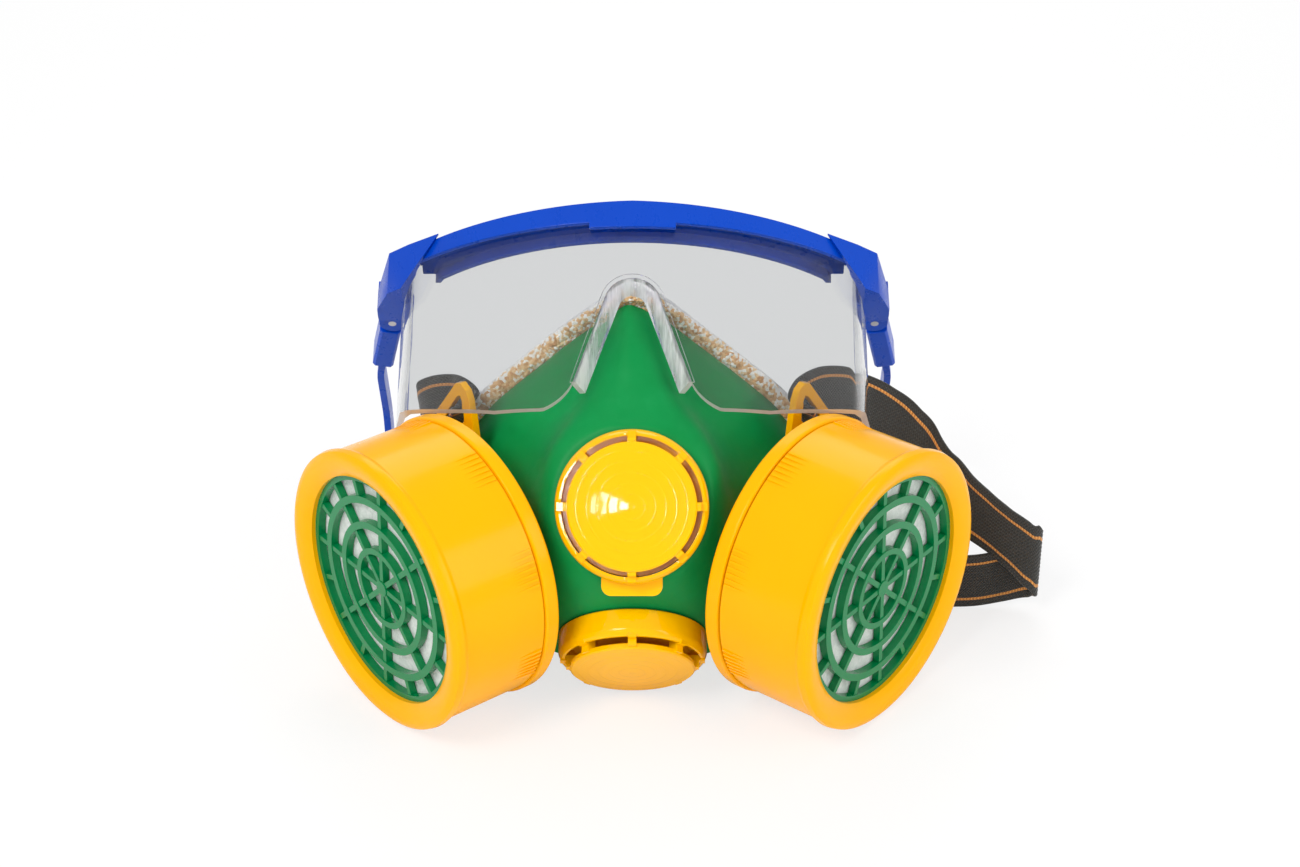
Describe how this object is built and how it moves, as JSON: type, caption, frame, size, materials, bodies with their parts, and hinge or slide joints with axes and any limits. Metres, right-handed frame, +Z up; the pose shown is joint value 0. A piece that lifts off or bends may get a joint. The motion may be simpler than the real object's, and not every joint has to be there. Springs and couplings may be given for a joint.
{
  "type": "twin cartridge half mask with goggles",
  "caption": "Rubber half mask with screw-capped filter drums, push-fit exhalation valve covers and a webbing head strap, with wraparound safety goggles resting on it.",
  "frame": {"origin": "on the table plane, on the mask's plane of symmetry, under the middle of the facepiece", "axes": "+X to the viewer's right across the mask, +Y away from the viewer towards the wearer's side, +Z up from the table"},
  "size_m": [0.2409, 0.1694, 0.1416],
  "materials": {
    "blue_plastic": "glossy blue moulding",
    "canister_shell": "drawn sheet",
    "valve_rubber": "thin brown rubber",
    "orange_plastic": "glossy orange moulding",
    "seat_plastic": "amber-brown moulding",
    "knit_liner": "knitted tan roll with white flecks",
    "mask_rubber": "satin green moulded rubber",
    "filter_felt": "off-white felt",
    "clear_lens": "clear polycarbonate",
    "green_plastic": "glossy green moulding",
    "strap_webbing": "charcoal ribbed elastic webbing",
    "dark_plastic": "black moulding",
    "steel": "bright pin"
  },
  "bodies": {
    "mask": {"facepiece": "mask_rubber", "face_seal_liner": "knit_liner", "head_strap": "strap_webbing", "filter_housing_right": "orange_plastic", "filter_housing_left": "orange_plastic", "strap_yoke_right": "orange_plastic", "strap_yoke_left": "orange_plastic", "port_nut_right": "dark_plastic", "port_nut_left": "dark_plastic", "inhalation_seat_right": "seat_plastic", "inhalation_seat_left": "seat_plastic", "front_valve_seat": "seat_plastic", "chin_valve_seat": "seat_plastic"},
    "cartridge_right": {"carbon_cartridge_right": "canister_shell", "filter_pad_right": "filter_felt"},
    "cap_right": {"filter_cap_right": "orange_plastic", "grille_right": "green_plastic"},
    "flap_right": {"inhalation_flap_right": "valve_rubber"},
    "cartridge_left": {"carbon_cartridge_left": "canister_shell", "filter_pad_left": "filter_felt"},
    "cap_left": {"filter_cap_left": "orange_plastic", "grille_left": "green_plastic"},
    "flap_left": {"inhalation_flap_left": "valve_rubber"},
    "front_diaphragm": {"front_diaphragm": "valve_rubber"},
    "front_cover": {"front_valve_cover": "orange_plastic"},
    "chin_diaphragm": {"chin_diaphragm": "valve_rubber"},
    "chin_cover": {"chin_valve_cover": "orange_plastic"},
    "goggles": {"goggle_lens": "clear_lens", "brow_bar": "blue_plastic", "hinge_block_right": "blue_plastic", "hinge_block_left": "blue_plastic", "temple_pin_right": "steel", "temple_pin_left": "steel"},
    "temple_right": {"temple_sleeve_right": "blue_plastic"},
    "arm_right": {"temple_arm_right": "blue_plastic"},
    "temple_left": {"temple_sleeve_left": "blue_plastic"},
    "arm_left": {"temple_arm_left": "blue_plastic"}
  },
  "joints": [
    {"name": "cartridge_draw_right", "type": "slide", "parent": "mask", "child": "cartridge_right", "axis": [0.7793, -0.6266, 0], "range_m": [0, 0.006]},
    {"name": "cap_turn_right", "type": "hinge", "parent": "cartridge_right", "child": "cap_right", "pos_m": [0.05, 0.0016, 0.0455], "axis": [0.7793, -0.6266, 0], "range_deg": [0, 90]},
    {"name": "inhalation_flap_lift_right", "type": "slide", "parent": "mask", "child": "flap_right", "axis": [-0.7793, 0.6266, 0], "range_m": [0, 0.0012], "stiffness_N_per_m": 20},
    {"name": "cartridge_draw_left", "type": "slide", "parent": "mask", "child": "cartridge_left", "axis": [-0.7793, -0.6266, 0], "range_m": [0, 0.006]},
    {"name": "cap_turn_left", "type": "hinge", "parent": "cartridge_left", "child": "cap_left", "pos_m": [-0.05, 0.0016, 0.0455], "axis": [-0.7793, -0.6266, 0], "range_deg": [0, 90]},
    {"name": "inhalation_flap_lift_left", "type": "slide", "parent": "mask", "child": "flap_left", "axis": [0.7793, 0.6266, 0], "range_m": [0, 0.0012], "stiffness_N_per_m": 20},
    {"name": "front_diaphragm_lift", "type": "slide", "parent": "mask", "child": "front_diaphragm", "axis": [0, -0.866, 0.5], "range_m": [0, 0.0015], "stiffness_N_per_m": 30},
    {"name": "front_cover_pull", "type": "slide", "parent": "mask", "child": "front_cover", "axis": [0, -0.866, 0.5], "range_m": [0, 0.015]},
    {"name": "chin_diaphragm_lift", "type": "slide", "parent": "mask", "child": "chin_diaphragm", "axis": [0, -0.8192, -0.5736], "range_m": [0, 0.0015], "stiffness_N_per_m": 30},
    {"name": "chin_cover_pull", "type": "slide", "parent": "mask", "child": "chin_cover", "axis": [0, -0.8192, -0.5736], "range_m": [0, 0.015]},
    {"name": "goggles_lift", "type": "slide", "parent": "mask", "child": "goggles", "axis": [0, 0, 1], "range_m": [0, 0.15]},
    {"name": "temple_fold_right", "type": "hinge", "parent": "goggles", "child": "temple_right", "pos_m": [0.079, 0.07447, 0.09267], "axis": [0, 0.8829, 0.4695], "range_deg": [0, 78]},
    {"name": "arm_extend_right", "type": "slide", "parent": "temple_right", "child": "arm_right", "axis": [0.2079, 0.4592, -0.8637], "range_m": [0, 0.01]},
    {"name": "temple_fold_left", "type": "hinge", "parent": "goggles", "child": "temple_left", "pos_m": [-0.079, 0.07447, 0.09267], "axis": [0, -0.8829, -0.4695], "range_deg": [0, 95]},
    {"name": "arm_extend_left", "type": "slide", "parent": "temple_left", "child": "arm_left", "axis": [-0.2079, 0.4592, -0.8637], "range_m": [0, 0.01]}
  ],
  "couplings": [
    {"joint": "cap_turn_right", "follows": "cartridge_draw_right", "rad_per_m": 261.8},
    {"joint": "cap_turn_left", "follows": "cartridge_draw_left", "rad_per_m": 261.8}
  ]
}
